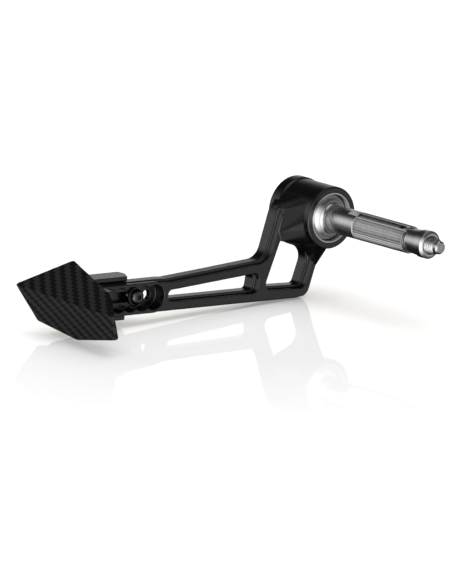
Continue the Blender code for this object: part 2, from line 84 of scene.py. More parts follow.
# Hub and arm
HUB_RADIUS = 15.2
HUB_RIM_RADIUS = 15.8
HUB_RIM_FRONT = 22.0
HUB_LENGTH = 29.0
HUB_EDGE = 0.5
WEB_FRONT = 6.8
WEB_BACK = 10.8
BOLT_WELL_RADIUS = 7.4
WELL_CHAMFER = 1.8
BUSH_SEAT_RADIUS = 12.3
FLARE_FRONT = 3.0
SHOULDER_FRONT = 9.0
RAISED_FRONT = 15.7
BASE_FRONT = 19.0
ARM_BACK = 25.0
LEDGE = 1.25
LOWER_EDGE = -42.6
WINDOW_TOP_RADIUS = 17.3
ARM_TILT = math.radians(3.0)

# Tip of the arm
TIP_HEIGHT = 16.1
TIP_END = 138.0
REACH_STATIONS = 5
REACH_PITCH = 7.5
FIRST_STATION = 99.0
STATION_IN_USE = 1
POCKET_RADIUS = 6.1
TIP_RIM = 0.45
POCKET_FLOOR = 22.0
SLOT_HALF_WIDTH = 2.45
TIP_START = -92.0

# Outlines are drawn this much wider, because smoothing takes it off the edges again
EDGE_ALLOWANCE = 0.2

# Plug
SHAFT_RADIUS = 6.75
SHAFT_END = -57.5
KNURL_START = -22.0
KNURL_FLUTES = 36
KNURL_DEPTH = 0.46
SAW_WIDTH = 3.0
SAW_ANGLE = math.radians(112.0)
TAPER = 0.10
MOUTH_RADIUS = 6.1
TAPER_DEPTH = 8.0
NOSE_RADIUS = 6.8
BOLT_RADIUS = 4.0
THREAD_PITCH = 1.25
THREAD_DEPTH = 0.72
DOG_RADIUS = 3.2
DOG_START = -75.6
DOG_CHAMFER = 1.0
THREAD_START = -52.0
SPIGOT_RADIUS = 5.8
BOLT_HEAD_HEIGHT = 8.0
BOLT_SOCKET = 6.0
BOLT_SOCKET_DEPTH = 4.0
FLANGE_FRONT = 2.6
FLANGE_BACK = 5.4

# Carrier and blade
CARRIER_BACK = 31.3
FLANGE_REACH = 19.8
CARRIER_TOP = 10.6
CARRIER_BOTTOM = -10.7
CARRIER_HUB_END = 0.2
CHANNEL_HUB_END = -7.4
NECK_START = -39.6
NECK_END = -49.0
CLEARANCE = 0.3
BLADE_CORNER = (-164.0, 43.0, -19.6)
BLADE_DROOP = math.radians(2.0)
BLADE_THICKNESS = 2.0
UPPER_LEAN = 0.10
LOWER_LEAN = 0.39
PAD_BACK = 9.5
PAD_TOP = 9.0
PAD_BOTTOM = -12.0
PAD_INBOARD = (20.0, 60.0)
BOSS_PLACES = {"outer": 36.0, "inner": 54.0}
BOSS_RADIUS = 3.2
BOSS_DEPTH = 6.7

# M4 screws, their washers and the thread insert
SCREW_RADIUS = 2.0
SCREW_HEAD_RADIUS = 3.8
SCREW_PITCH = 0.7
SCREW_THREAD_DEPTH = 0.38
SCREW_SOCKET = 2.5
SCREW_SOCKET_DEPTH = 1.3
SCREW_LENGTH = 10.0
WASHER_BORE = 2.2
WASHER_THICKNESS = 1.1
THREADED_BORE = 2.1
INSERT_RADIUS = 3.3

# Fineness of the meshes
VOXEL = 0.27
SMOOTH_TURNS = 3
ROUND_STEPS = 128

# Camera: a long lens, so that parallel edges stay nearly parallel
CAMERA_YAW = math.radians(42.0)
CAMERA_PITCH = math.radians(13.0)
CAMERA_ROLL = math.radians(1.78)
CAMERA_DISTANCE = 9.0
VIEW_HEIGHT = 0.2808
AIM_RIGHT = -0.0509
AIM_UP = -0.0356
SENSOR = 36.0

# Floor: how much it mirrors, and how much light it gives by itself
FLOOR_POLISH = 0.42
FLOOR_GLOW = 0.23
FLOOR_HALF_WIDTH = 8.0


# ---------------------------------------------------------------- outlines

def rounded(corners, steps=10):
    """Closed outline whose corners (x, z, radius) are rounded with arcs."""
    points = []
    count = len(corners)
    for index, (x, z, radius) in enumerate(corners):
        here = Vector((x, z))
        before = (Vector(corners[index - 1][:2]) - here).normalized()
        after = (Vector(corners[(index + 1) % count][:2]) - here).normalized()
        if radius <= 0.0:
            points.append((x, z))
            continue
        half = 0.5 * before.angle(after)
        reach = radius / math.tan(half)
        centre = here + (before + after).normalized() * (radius / math.sin(half))
        start = here + before * reach - centre
        turn = start.angle_signed(here + after * reach - centre)
        for step in range(steps + 1):
            arm = Matrix.Rotation(-turn * step / steps, 2) @ start
            points.append(tuple(centre + arm))
    return points


def arc(centre, radius, start, end, steps):
    """Points on an arc from start to end, in degrees from +X towards +Z."""
    points = []
    for step in range(steps + 1):
        angle = math.radians(start + (end - start) * step / steps)
        points.append((centre[0] + radius * math.cos(angle), centre[1] + radius * math.sin(angle)))
    return points


def grown(outline, distance):
    """The outline moved outwards by distance, or inwards when it is negative."""
    count = len(outline)
    area = sum(outline[i - 1][0] * outline[i][1] - outline[i][0] * outline[i - 1][1]
               for i in range(count))
    side = 1.0 if area > 0.0 else -1.0
    moved = []
    for index in range(count):
        here = Vector(outline[index])
        before = (here - Vector(outline[index - 1])).normalized()
        after = (Vector(outline[(index + 1) % count]) - here).normalized()
        normal_before = Vector((before.y, -before.x)) * side
        normal_after = Vector((after.y, -after.x)) * side
        middle = (normal_before + normal_after).normalized()
        moved.append(tuple(here + middle * (distance / middle.dot(normal_after))))
    return moved


def widened(outline, distance):
    """The outline grown by distance, except along the arm's tip, which the carrier fits."""
    kept = [min(1.0, max(0.0, (x - TIP_START) / 4.0)) for x, z in outline]
    moved = grown(outline, distance)
    return [(x + (new_x - x) * share, z + (new_z - z) * share)
            for (x, z), (new_x, new_z), share in zip(outline, moved, kept)]


def along_tip(distance, height):
    """Point (x, z) at a distance along the arm's lower edge and a height over it."""
    x = -distance * math.cos(ARM_TILT) + height * math.sin(ARM_TILT)
    z = LOWER_EDGE + distance * math.sin(ARM_TILT) + height * math.cos(ARM_TILT)
    return x, z


# ---------------------------------------------------------------- solids

def as_object(name, bm):
    """A bmesh in millimetres as a plain object, with its faces pointing out."""
    bmesh.ops.remove_doubles(bm, verts=bm.verts, dist=0.0001)
    bmesh.ops.recalc_face_normals(bm, faces=bm.faces)
    mesh = bpy.data.meshes.new(name)
    bm.to_mesh(mesh)
    bm.free()
    item = bpy.data.objects.new(name, mesh)
    bpy.context.scene.collection.objects.link(item)
    return item


def apply_modifiers(item):
    graph = bpy.context.evaluated_depsgraph_get()
    mesh = bpy.data.meshes.new_from_object(item.evaluated_get(graph))
    item.modifiers.clear()
    item.data = mesh
    return item


def combined(item, operation, bm):
    """Union of an object with a solid, or the object cut by it."""
    tool = as_object("tool", bm)
    modifier = item.modifiers.new("combine", "BOOLEAN")
    modifier.operation = operation
    modifier.object = tool
    apply_modifiers(item)
    bpy.data.objects.remove(tool)
    return item


def softened(item, voxel=VOXEL, turns=SMOOTH_TURNS):
    """Even quads all over the object, with its edges rounded a little."""
    remesh = item.modifiers.new("voxels", "REMESH")
    remesh.mode = "VOXEL"
    remesh.voxel_size = voxel
    smooth = item.modifiers.new("soften", "SMOOTH")
    smooth.factor = 0.5
    smooth.iterations = turns
    return apply_modifiers(item)


def piece(item, name, body, material, replaces=(), sharp=40.0):
    """Finish an object in millimetres as a named piece in metres that rides on a body."""
    item.name = name
    item.data.name = name
    item.data.transform(Matrix.Scale(MM, 4))
    item.data.materials.clear()
    item.data.materials.append(material)
    item.data.shade_smooth()
    item.data.set_sharp_from_angle(angle=math.radians(sharp))
    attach(item, body)
    if replaces:
        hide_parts(*replaces)
    return item


def prism(outline, front, back):
    """Outline (x, z) extruded along Y from front to back."""
    bm = bmesh.new()
    near = [bm.verts.new((x, front, z)) for x, z in outline]
    far = [bm.verts.new((x, back, z)) for x, z in outline]
    bm.faces.new(near)
    bm.faces.new(list(reversed(far)))
    for index in range(len(outline)):
        bm.faces.new((near[index - 1], far[index - 1], far[index], near[index]))
    return bm


def turned(profile, steps=ROUND_STEPS, shape=None):
    """Profile (radius, y) turned about Y; shape(radius, y, angle) can vary the radius."""
    bm = bmesh.new()
    rings = []
    for radius, y in profile:
        if radius == 0.0:
            rings.append([bm.verts.new((0.0, y, 0.0))])
            continue
        ring = []
        for step in range(steps):
            angle = 2.0 * math.pi * step / steps
            here = shape(radius, y, angle) if shape else radius
            ring.append(bm.verts.new((here * math.cos(angle), y, here * math.sin(angle))))
        rings.append(ring)
    pairs = list(zip(rings, rings[1:]))
    if profile[0][0] > 0.0:
        pairs.append((rings[-1], rings[0]))
    for first, second in pairs:
        for step in range(steps):
            following = (step + 1) % steps
            corners = [first[step % len(first)], first[following % len(first)]]
            corners += [second[following % len(second)], second[step % len(second)]]
            bm.faces.new(list(dict.fromkeys(corners)))
    return bm


def eased(profile, edge, steps=3):
    """A closed (radius, y) profile with every corner rounded by edge."""
    return rounded([(radius, y, edge) for radius, y in profile], steps)


def hull(points):
    bm = bmesh.new()
    for point in points:
        bm.verts.new(point)
    made = bmesh.ops.convex_hull(bm, input=bm.verts)
    unused = [item for item in made["geom_interior"] if isinstance(item, bmesh.types.BMVert)]
    bmesh.ops.delete(bm, geom=unused, context="VERTS")
    return bm


def placed(bm, matrix):
    bmesh.ops.transform(bm, matrix=matrix, verts=bm.verts)
    return bm


def hexagon(across_flats):
    return arc((0.0, 0.0), across_flats / math.sqrt(3.0), 0.0, 300.0, 5)


# ---------------------------------------------------------------- materials

class Nodes:
    """Short ways to add nodes to a node tree."""

    def __init__(self, tree):
        self.tree = tree

    def feed(self, socket, value):
        if isinstance(value, bpy.types.NodeSocket):
            self.tree.links.new(value, socket)
        else:
            socket.default_value = value

    def add(self, kind, *values):
        node = self.tree.nodes.new("ShaderNode" + kind)
        for socket, value in zip(node.inputs, values):
            self.feed(socket, value)
        return node

    def calc(self, operation, *values, clamp=False):
        node = self.tree.nodes.new("ShaderNodeMath")
        node.operation = operation
        node.use_clamp = clamp
        for socket, value in zip(node.inputs, values):
            self.feed(socket, value)
        return node.outputs[0]

    def split(self, vector):
        return self.add("SeparateXYZ", vector).outputs

    def join(self, x, y, z):
        return self.add("CombineXYZ", x, y, z).outputs[0]

    def dot(self, vector, direction):
        node = self.tree.nodes.new("ShaderNodeVectorMath")
        node.operation = "DOT_PRODUCT"
        self.feed(node.inputs[0], vector)
        self.feed(node.inputs[1], direction)
        return node.outputs["Value"]

    def noise(self, size, detail=2.0, place=None):
        """Noise whose grain is about size metres across."""
        node = self.tree.nodes.new("ShaderNodeTexNoise")
        self.feed(node.inputs["Vector"], place or self.place)
        self.feed(node.inputs["Scale"], 1.0 / size)
        self.feed(node.inputs["Detail"], detail)
        return node.outputs["Fac"]

    def range(self, value, low, high, start=0.0, end=1.0):
        return self.add("MapRange", value, start, end, low, high).outputs[0]

    def mixed(self, factor, first, second):
        node = self.tree.nodes.new("ShaderNodeMix")
        node.data_type = "RGBA"
        sockets = [socket for socket in node.inputs if socket.type == "RGBA"]
        self.feed(node.inputs[0], factor)
        for socket, colour in zip(sockets, (first, second)):
            linked = isinstance(colour, bpy.types.NodeSocket)
            self.feed(socket, colour if linked else (*colour, 1.0))
        return next(socket for socket in node.outputs if socket.type == "RGBA")


class Surface(Nodes):
    """A Principled material."""

    def __init__(self, name, colour, roughness, metallic, specular=0.5):
        self.material = bpy.data.materials.new(name)
        self.material.use_nodes = True
        super().__init__(self.material.node_tree)
        self.shader = self.tree.nodes["Principled BSDF"]
        self.feed(self.shader.inputs["Base Color"], (*colour, 1.0))
        self.feed(self.shader.inputs["Roughness"], roughness)
        self.feed(self.shader.inputs["Metallic"], metallic)
        self.feed(self.shader.inputs["Specular IOR Level"], specular)
        self.place = self.tree.nodes.new("ShaderNodeTexCoord").outputs["Object"]

    def bump(self, height, distance, strength=1.0):
        node = self.tree.nodes.new("ShaderNodeBump")
        self.feed(node.inputs["Height"], height)
        self.feed(node.inputs["Distance"], distance)
        self.feed(node.inputs["Strength"], strength)
        if self.shader.inputs["Normal"].links:
            self.feed(node.inputs["Normal"], self.shader.inputs["Normal"].links[0].from_socket)
        self.feed(self.shader.inputs["Normal"], node.outputs[0])

    def set(self, name, value):
        self.feed(self.shader.inputs[name], value)


def anodised():
    """Fine-blasted black anodised aluminium, with a painted highlight along its edges and the
    milling marks in its inner corners painted lighter as a highlight.
    """
    surface = Surface("black_anodised", (0.003, 0.003, 0.003), 0.27, 0.0, 0.85)
    curve = surface.tree.nodes.new("ShaderNodeNewGeometry").outputs["Pointiness"]
    edges = surface.range(curve, 0.0, 1.0, 0.53, 0.60)
    corners = surface.range(curve, 1.0, 0.0, 0.42, 0.475)
    cloud = surface.noise(0.012, 3.0)
    grain = surface.noise(0.0003, 1.0)
    marks = surface.range(surface.noise(0.0009, 0.0), 0.15, 1.0, 0.42, 0.58)
    body = surface.mixed(cloud, (0.0008, 0.0008, 0.0009), (0.0018, 0.0018, 0.0020))
    # Convex edges painted lighter: a painted highlight.
    body = surface.mixed(edges, body, (0.020, 0.020, 0.021))
    # Milling marks in the inner corners painted lighter: real tool marks, drawn as the painted
    # highlight they catch.
    cut = surface.calc("MULTIPLY", corners, marks)
    surface.set("Base Color", surface.mixed(cut, body, (0.045, 0.045, 0.047)))
    surface.set("Roughness", surface.range(grain, 0.20, 0.34, 0.3, 0.7))
    surface.bump(grain, 0.000008)
    return surface.material


def lathe_marks(surface, pitch):
    """Noise that is the same all the way round the Y axis: the rings that a lathe leaves."""
    x, y, z = surface.split(surface.place)
    across = surface.calc("POWER", surface.calc("ADD", surface.calc("MULTIPLY", x, x),
                                                surface.calc("MULTIPLY", z, z)), 0.5)
    return surface.noise(pitch, 2.0, surface.join(across, y, 0.0))


def turned_alloy():
    surface = Surface("turned_alloy", (0.74, 0.74, 0.73), 0.28, 1.0)
    rings = lathe_marks(surface, 0.00022)
    cloud = surface.noise(0.006, 2.0)
    surface.set("Base Color", surface.mixed(cloud, (0.66, 0.665, 0.67), (0.80, 0.80, 0.79)))
    surface.set("Roughness", surface.range(rings, 0.18, 0.34, 0.3, 0.7))
    surface.bump(rings, 0.000008)
    return surface.material


def plated_steel():
    surface = Surface("plated_steel", (0.6, 0.61, 0.62), 0.25, 1.0)
    grain = surface.noise(0.0005, 3.0)
    cloud = surface.noise(0.004, 2.0)
    surface.set("Base Color", surface.mixed(cloud, (0.52, 0.53, 0.55), (0.68, 0.685, 0.69)))
    surface.set("Roughness", surface.range(grain, 0.18, 0.34, 0.3, 0.7))
    surface.bump(grain, 0.000006)
    return surface.material


# Darker copy of the plated steel for the reach screw and its washer: painted shade for their place
# down in the arm's pocket.
def black_steel():
    surface = Surface("black_steel", (0.12, 0.12, 0.125), 0.3, 1.0)
    grain = surface.noise(0.0005, 3.0)
    cloud = surface.noise(0.003, 2.0)
    surface.set("Base Color", surface.mixed(cloud, (0.09, 0.09, 0.095), (0.15, 0.15, 0.155)))
    surface.set("Roughness", surface.range(grain, 0.22, 0.38, 0.3, 0.7))
    surface.bump(grain, 0.000006)
    return surface.material


def white_polymer():
    surface = Surface("white_polymer", (0.8, 0.79, 0.75), 0.45, 0.0)
    grain = surface.noise(0.0006, 3.0)
    cloud = surface.noise(0.005)
    surface.set("Base Color", surface.mixed(cloud, (0.76, 0.75, 0.71), (0.83, 0.82, 0.78)))
    surface.set("Roughness", surface.range(grain, 0.40, 0.52))
    surface.bump(grain, 0.000008)
    return surface.material


# Tows per metre across the warp and across the weft, counted inboard and up the panel.
# The cloth is sheared where it goes over the crease.
LOWER_CLOTH = ((-85.0, 567.0), (-567.0, -85.0))
UPPER_CLOTH = ((67.0, 598.0), (-433.0, 418.0))


def twill_carbon():
    """Two-by-two twill: each tow goes over two and under two, one tow further in each row."""
    surface = Surface("twill_carbon", (0.02, 0.02, 0.021), 0.3, 0.0)
    node = surface.tree.nodes.new("ShaderNodeMapping")
    node.vector_type = "TEXTURE"
    surface.feed(node.inputs["Vector"], surface.place)
    node.inputs["Location"].default_value = Vector(BLADE_CORNER) * MM
    node.inputs["Rotation"].default_value = (BLADE_DROOP, 0.0, 0.0)
    outboard, height = surface.split(node.outputs[0])[1:]
    upper = surface.calc("GREATER_THAN", height, 0.0)

    def tows(lower_cloth, upper_cloth):
        """Place across one set of tows, in tows."""
        inboard_rate = surface.range(upper, -lower_cloth[0], -upper_cloth[0])
        height_rate = surface.range(upper, lower_cloth[1], upper_cloth[1])
        return surface.calc("ADD", surface.calc("MULTIPLY", outboard, inboard_rate),
                            surface.calc("MULTIPLY", height, height_rate))

    warp = tows(LOWER_CLOTH[0], UPPER_CLOTH[0])
    weft = tows(LOWER_CLOTH[1], UPPER_CLOTH[1])
    step = surface.calc("SUBTRACT", surface.calc("FLOOR", warp), surface.calc("FLOOR", weft))
    step = surface.calc("FLOORED_MODULO", step, 4.0)
    warp_on_top = surface.calc("LESS_THAN", step, 1.5)
    warp_place = surface.calc("SUBTRACT", surface.calc("FRACT", warp), 0.5)
    weft_place = surface.calc("SUBTRACT", surface.calc("FRACT", weft), 0.5)
    crown = surface.tree.nodes.new("ShaderNodeMix")
    surface.feed(crown.inputs["Factor"], warp_on_top)
    surface.feed(crown.inputs["A"], surface.calc("MULTIPLY", weft_place, weft_place))
    surface.feed(crown.inputs["B"], surface.calc("MULTIPLY", warp_place, warp_place))
    crown_drop = surface.calc("MULTIPLY", crown.outputs["Result"], 4.0)
    height_of_tow = surface.calc("SUBTRACT", 1.0, crown_drop)
    fibre = 0.07
    fibre_length = 1.2
    warp_run = surface.calc("MULTIPLY", weft, fibre / fibre_length)
    weft_run = surface.calc("MULTIPLY", warp, fibre / fibre_length)
    warp_fibres = surface.noise(fibre, 2.0, surface.join(warp, warp_run, 0.0))
    weft_fibres = surface.noise(fibre, 2.0, surface.join(weft_run, weft, 0.0))
    # Warp tows on top painted lighter than weft tows: a painted sheen on the real two-by-two weave.
    lit_warp = surface.mixed(warp_fibres, (0.026, 0.026, 0.026), (0.044, 0.044, 0.045))
    lit_weft = surface.mixed(weft_fibres, (0.010, 0.010, 0.010), (0.018, 0.018, 0.018))
    cloth = surface.mixed(warp_on_top, lit_weft, lit_warp)
    # Darker copies of the same tow colours for the upper panel: painted shade.
    shaded_warp = surface.mixed(warp_fibres, (0.013, 0.013, 0.013), (0.021, 0.021, 0.022))
    shaded_weft = surface.mixed(weft_fibres, (0.001, 0.001, 0.001), (0.005, 0.005, 0.005))
    shaded = surface.mixed(warp_on_top, shaded_weft, shaded_warp)
    surface.set("Base Color", surface.mixed(upper, cloth, shaded))
    surface.set("Roughness", 0.42)
    surface.set("Specular IOR Level", 0.08)
    surface.bump(height_of_tow, 0.00004, 0.7)
    return surface.material


def floor_material():
    """White floor with a faint polish, so that it mirrors the object a little."""
    material = bpy.data.materials.new("studio_floor")
    material.use_nodes = True
    nodes = Nodes(material.node_tree)
    nodes.tree.nodes.clear()
    place = nodes.tree.nodes.new("ShaderNodeTexCoord").outputs["Object"]
    centre = nodes.add("VectorMath", place, (0.08, 0.02, 0.0)).outputs[0]
    x, y = nodes.split(centre)[:2]
    distance = nodes.calc("SQRT", nodes.calc("ADD", nodes.calc("MULTIPLY", x, x),
                                             nodes.calc("MULTIPLY", y, y)))
    polish = nodes.range(distance, FLOOR_POLISH, 0.35 * FLOOR_POLISH, 0.06, 0.34)
    white = nodes.add("BsdfDiffuse", (0.9, 0.9, 0.9, 1.0))
    mirror = nodes.add("BsdfAnisotropic", (1.0, 0.96, 0.88, 1.0), 0.03)
    blend = nodes.add("MixShader", polish, white.outputs[0], mirror.outputs[0])
    glow = nodes.add("Emission", (1.0, 1.0, 1.0, 1.0), FLOOR_GLOW)
    both = nodes.add("AddShader", blend.outputs[0], glow.outputs[0])
    nodes.add("OutputMaterial", both.outputs[0])
    return material


# ---------------------------------------------------------------- arm

def arm_outline():
    """Base layer: round the hub, down both legs and out along the beam to the tip."""
    around_hub = arc((0.0, 0.0), HUB_RADIUS - 0.3, -24.0, 150.0, 90)
    outside = [
        (-18.2, 3.2, 12.0),
        (-26.1, -20.7, 8.0),
        (-60.0, -21.7, 0.0),
        (-88.0, -22.3, 0.0),
        (*along_tip(92.5, TIP_HEIGHT), 5.0),
        (*along_tip(TIP_END, TIP_HEIGHT), 5.5),
        (*along_tip(TIP_END, 0.0), 5.5),
        (0.4, LOWER_EDGE - 0.03, 6.5),
    ]
    return rounded([(x, z, 0.0) for x, z in around_hub] + outside)


def window_outline():
    """Opening between the legs, under the hub."""
    top = arc((0.0, 0.0), WINDOW_TOP_RADIUS, 222.0, 250.0, 14)
    corners = [(-15.9, -8.7, 2.2)]
    corners += [(x, z, 0.0) for x, z in top]
    corners += [(3.4, -19.7, 6.5), (-2.9, -36.2, 2.5), (-27.0, -34.3, 2.5)]
    return rounded(corners)


def beam_slot_outline():
    """Tapered opening between the arm's two beams."""
    return rounded([(-32.0, -26.9, 2.2), (-33.4, -34.9, 2.2),
                    (-88.6, -31.9, 1.7), (-88.6, -28.1, 1.7)])


def station(index):
    return along_tip(FIRST_STATION + REACH_PITCH * index, 0.5 * TIP_HEIGHT)


def pocket_outline():
    """Overlapping round pockets, one at each place where the screw can sit."""
    overlap = math.degrees(math.acos(0.5 * REACH_PITCH / POCKET_RADIUS))
    tilt = -math.degrees(ARM_TILT)
    last = REACH_STATIONS - 1
    points = []
    for index in range(REACH_STATIONS):
        start = tilt if index == 0 else tilt + overlap
        end = tilt + 180.0 if index == last else tilt + 180.0 - overlap
        points += arc(station(index), POCKET_RADIUS, start, end, 20)[:-1]
    for index in reversed(range(REACH_STATIONS)):
        start = tilt + 180.0 if index == last else tilt + 180.0 + overlap
        end = tilt + 360.0 if index == 0 else tilt + 360.0 - overlap
        points += arc(station(index), POCKET_RADIUS, start, end, 20)[:-1]
    return points


def tip_pad_outline():
    """Raised face round the pocket, nearly as tall as the tip and round at the hub's end."""
    half = 0.5 * TIP_HEIGHT - TIP_RIM
    tilt = -math.degrees(ARM_TILT)
    corners = [(x, z, 0.0) for x, z in arc(station(0), half, tilt - 90.0, tilt + 90.0, 40)]
    corners.append((*along_tip(TIP_END - TIP_RIM, TIP_HEIGHT - TIP_RIM), 5.0))
    corners.append((*along_tip(TIP_END - TIP_RIM, TIP_RIM), 5.0))
    return rounded(corners)


def screw_slot_outline():
    """Slot through the pocket's floor, from the station in use to the outermost one."""
    tilt = -math.degrees(ARM_TILT)
    hub_end = arc(station(STATION_IN_USE), SLOT_HALF_WIDTH, tilt - 90.0, tilt + 90.0, 20)
    far_end = arc(station(REACH_STATIONS - 1), SLOT_HALF_WIDTH, tilt + 90.0, tilt + 270.0, 20)
    return hub_end + far_end


def hub_barrel():
    """Barrel with a slightly wider rim at its outboard end."""
    rim_step = HUB_RIM_RADIUS - HUB_RADIUS
    return turned([
        (0.0, 0.0),
        (HUB_RADIUS - HUB_EDGE, 0.0),
        (HUB_RADIUS, HUB_EDGE),
        (HUB_RADIUS, HUB_RIM_FRONT),
        (HUB_RIM_RADIUS, HUB_RIM_FRONT + rim_step),
        (HUB_RIM_RADIUS, HUB_LENGTH - 2.0 * HUB_EDGE),
        (HUB_RIM_RADIUS - 2.0 * HUB_EDGE, HUB_LENGTH),
        (0.0, HUB_LENGTH),
    ])


def leg_flare(start, end, root):
    """Sloping flank from the barrel, between two angles round it, to the top of one leg."""
    ring = arc((0.0, 0.0), HUB_RADIUS - 0.05, start, end, 48)
    points = [(x, FLARE_FRONT, z) for x, z in ring]
    points += [(x, RAISED_FRONT + 0.4, z) for x, z in ring]
    points += [(x, RAISED_FRONT + 0.4, z) for x, z in root]
    points += [(x, RAISED_FRONT, z) for x, z in root]
    return hull(points)


def shoulder():
    """Ramp over the left leg's top, from the barrel to the leg's outer edge."""
    ring = arc((0.0, 0.0), HUB_RADIUS - 0.05, 122.0, 186.0, 32)
    raised_edge = ((-16.6, 3.6), (-18.6, -2.5))
    base_edge = ((-17.4, 4.2), (-19.4, -1.5))
    points = [(x, y, z) for x, z in ring for y in (SHOULDER_FRONT, HUB_RIM_FRONT)]
    points += [(x, y, z) for x, z in raised_edge for y in (RAISED_FRONT, BASE_FRONT)]
    points += [(x, HUB_RIM_FRONT, z) for x, z in base_edge]
    return hull(points)


def hub_bores():
    """Bush bore from the front, hole through the web, well for the bolt's head behind."""
    spigot = SPIGOT_RADIUS + CLEARANCE
    return turned([
        (0.0, -1.0),
        (BUSH_SEAT_RADIUS, -1.0),
        (BUSH_SEAT_RADIUS, WEB_FRONT),
        (spigot, WEB_FRONT),
        (spigot, WEB_BACK),
        (BOLT_WELL_RADIUS, WEB_BACK),
        (BOLT_WELL_RADIUS, HUB_LENGTH + 1.0 - WELL_CHAMFER),
        (BOLT_WELL_RADIUS + WELL_CHAMFER, HUB_LENGTH + 1.0),
        (0.0, HUB_LENGTH + 1.0),
    ])


def make_arm(material):
    outline = widened(arm_outline(), EDGE_ALLOWANCE)
    window = widened(window_outline(), -EDGE_ALLOWANCE)
    beam_slot = widened(beam_slot_outline(), -EDGE_ALLOWANCE)
    arm = as_object("arm", prism(outline, BASE_FRONT, ARM_BACK))
    raised = as_object("raised", prism(grown(outline, -LEDGE), RAISED_FRONT, BASE_FRONT + 0.5))
    for opening in (window, beam_slot):
        combined(arm, "DIFFERENCE", prism(opening, BASE_FRONT - 2.0, ARM_BACK + 2.0))
        wider = prism(grown(opening, LEDGE), RAISED_FRONT - 2.0, BASE_FRONT + 2.0)
        combined(raised, "DIFFERENCE", wider)
    raised_mesh = bmesh.new()
    raised_mesh.from_mesh(raised.data)
    bpy.data.objects.remove(raised)
    combined(arm, "UNION", raised_mesh)
    combined(arm, "UNION", prism(tip_pad_outline(), RAISED_FRONT, BASE_FRONT + 0.6))
    combined(arm, "UNION", hub_barrel())
    combined(arm, "UNION", leg_flare(132.0, 290.0, [(-16.9, 3.4), (-19.9, -7.6), (-18.2, -12.2)]))
    combined(arm, "UNION", shoulder())
    combined(arm, "UNION", leg_flare(200.0, 272.0, [(12.0, -9.5), (4.8, -27.0), (2.6, -21.0)]))
    combined(arm, "DIFFERENCE", hub_bores())
    combined(arm, "DIFFERENCE", prism(pocket_outline(), RAISED_FRONT - 2.0, POCKET_FLOOR))
    combined(arm, "DIFFERENCE", prism(screw_slot_outline(), POCKET_FLOOR - 1.0, ARM_BACK + 1.0))
    short_station = arc(station(0), SLOT_HALF_WIDTH, 0.0, 350.0, 35)
    combined(arm, "DIFFERENCE", prism(short_station, POCKET_FLOOR - 1.0, ARM_BACK + 1.0))
    softened(arm)
    return piece(arm, "arm_body", "arm", material, ["guard_arm"], 70.0)


# ---------------------------------------------------------------- plug

def flutes(radius, y, angle):
    """Radius of the sleeve: straight flutes between the knurl's start and the sleeve's end."""
    if y > KNURL_START or y < SHAFT_END + 0.8 or radius < SHAFT_RADIUS - 0.01:
        return radius
    fade = min(1.0, (KNURL_START - y) / 0.5)
    wave = 0.5 + 0.5 * math.cos(KNURL_FLUTES * angle)
    return radius - KNURL_DEPTH * fade * wave ** 1.5


def stretch(radius, start, end, count):
    """Evenly spaced profile points along the sleeve."""
    return [(radius, start + (end - start) * index / count) for index in range(count + 1)]


def make_adapter(material):
    bore = BOLT_RADIUS + CLEARANCE
    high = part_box("bar_end_adapter")[1]
    back = high.y / MM
    flange = high.x / MM
    fillet = 2.4
    profile = [
        (bore, back),
        (SPIGOT_RADIUS - 0.4, back),
        (SPIGOT_RADIUS, back - 0.4),
        (SPIGOT_RADIUS, FLANGE_BACK),
        (flange, FLANGE_BACK),
        (flange, FLANGE_FRONT + 0.25),
        (flange - 0.25, FLANGE_FRONT - 0.1),
        (10.6, 2.0),
        (10.5, 1.95),
        (10.4, 1.8),
    ]
    profile += arc((SHAFT_RADIUS + fillet, -fillet), fillet, 108.0, 180.0, 14)
    profile += stretch(SHAFT_RADIUS, -2.8, KNURL_START + 0.6, 2)
    profile += [(SHAFT_RADIUS - 0.25, KNURL_START + 0.45), (SHAFT_RADIUS - 0.25, KNURL_START + 0.1)]
    profile += stretch(SHAFT_RADIUS, KNURL_START - 0.05, KNURL_START - 0.55, 3)
    profile += stretch(SHAFT_RADIUS, KNURL_START - 1.5, SHAFT_END + 0.85, 4)
    profile += [
        (SHAFT_RADIUS - 0.3, SHAFT_END + 0.75),
        (SHAFT_RADIUS - 0.5, SHAFT_END),
        (MOUTH_RADIUS, SHAFT_END),
        (MOUTH_RADIUS - TAPER * TAPER_DEPTH, SHAFT_END + TAPER_DEPTH),
        (bore, SHAFT_END + TAPER_DEPTH + 1.2),
    ]
    adapter = as_object("adapter", turned(profile, KNURL_FLUTES * 8, flutes))
    reach = 9.0
    wide_end = -13.0
    narrow_end = -18.5
    saw = [(-reach, SHAFT_END - 2.0), (reach, SHAFT_END - 2.0), (reach, wide_end),
           (bore, narrow_end), (-bore, narrow_end), (-reach, wide_end)]
    across = Vector((math.cos(SAW_ANGLE), 0.0, math.sin(SAW_ANGLE)))
    lengthwise = Vector((0.0, 1.0, 0.0))
    axes = Matrix((across, lengthwise.cross(across), lengthwise)).transposed().to_4x4()
    combined(adapter, "DIFFERENCE", placed(prism(saw, -0.5 * SAW_WIDTH, 0.5 * SAW_WIDTH), axes))
    return piece(adapter, "expander_sleeve", "plug", material,
                 ["bar_end_adapter"], 30.0)


def make_bush(material):
    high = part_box("hub_bush")[1]
    front = 0.05
    back = high.y / MM
    inner = high.x / MM - 0.8
    outer = BUSH_SEAT_RADIUS
    ring = turned(eased([(inner, front), (outer, front), (outer, back), (inner, back)], 0.2))
    return piece(as_object("bush", ring), "bush_ring", "arm", material,
                 ["hub_bush"], 30.0)


def flat_ring(node, name, body, material, inner):
    """A washer about Y with eased edges, the size of its CAD node."""
    low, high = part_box(node)
    outer = high.x / MM
    front = low.y / MM
    back = high.y / MM
    ring = turned(eased([(inner, front), (outer, front), (outer, back), (inner, back)], 0.12))
    return piece(as_object(name, ring), name, body, material, [node], 30.0)


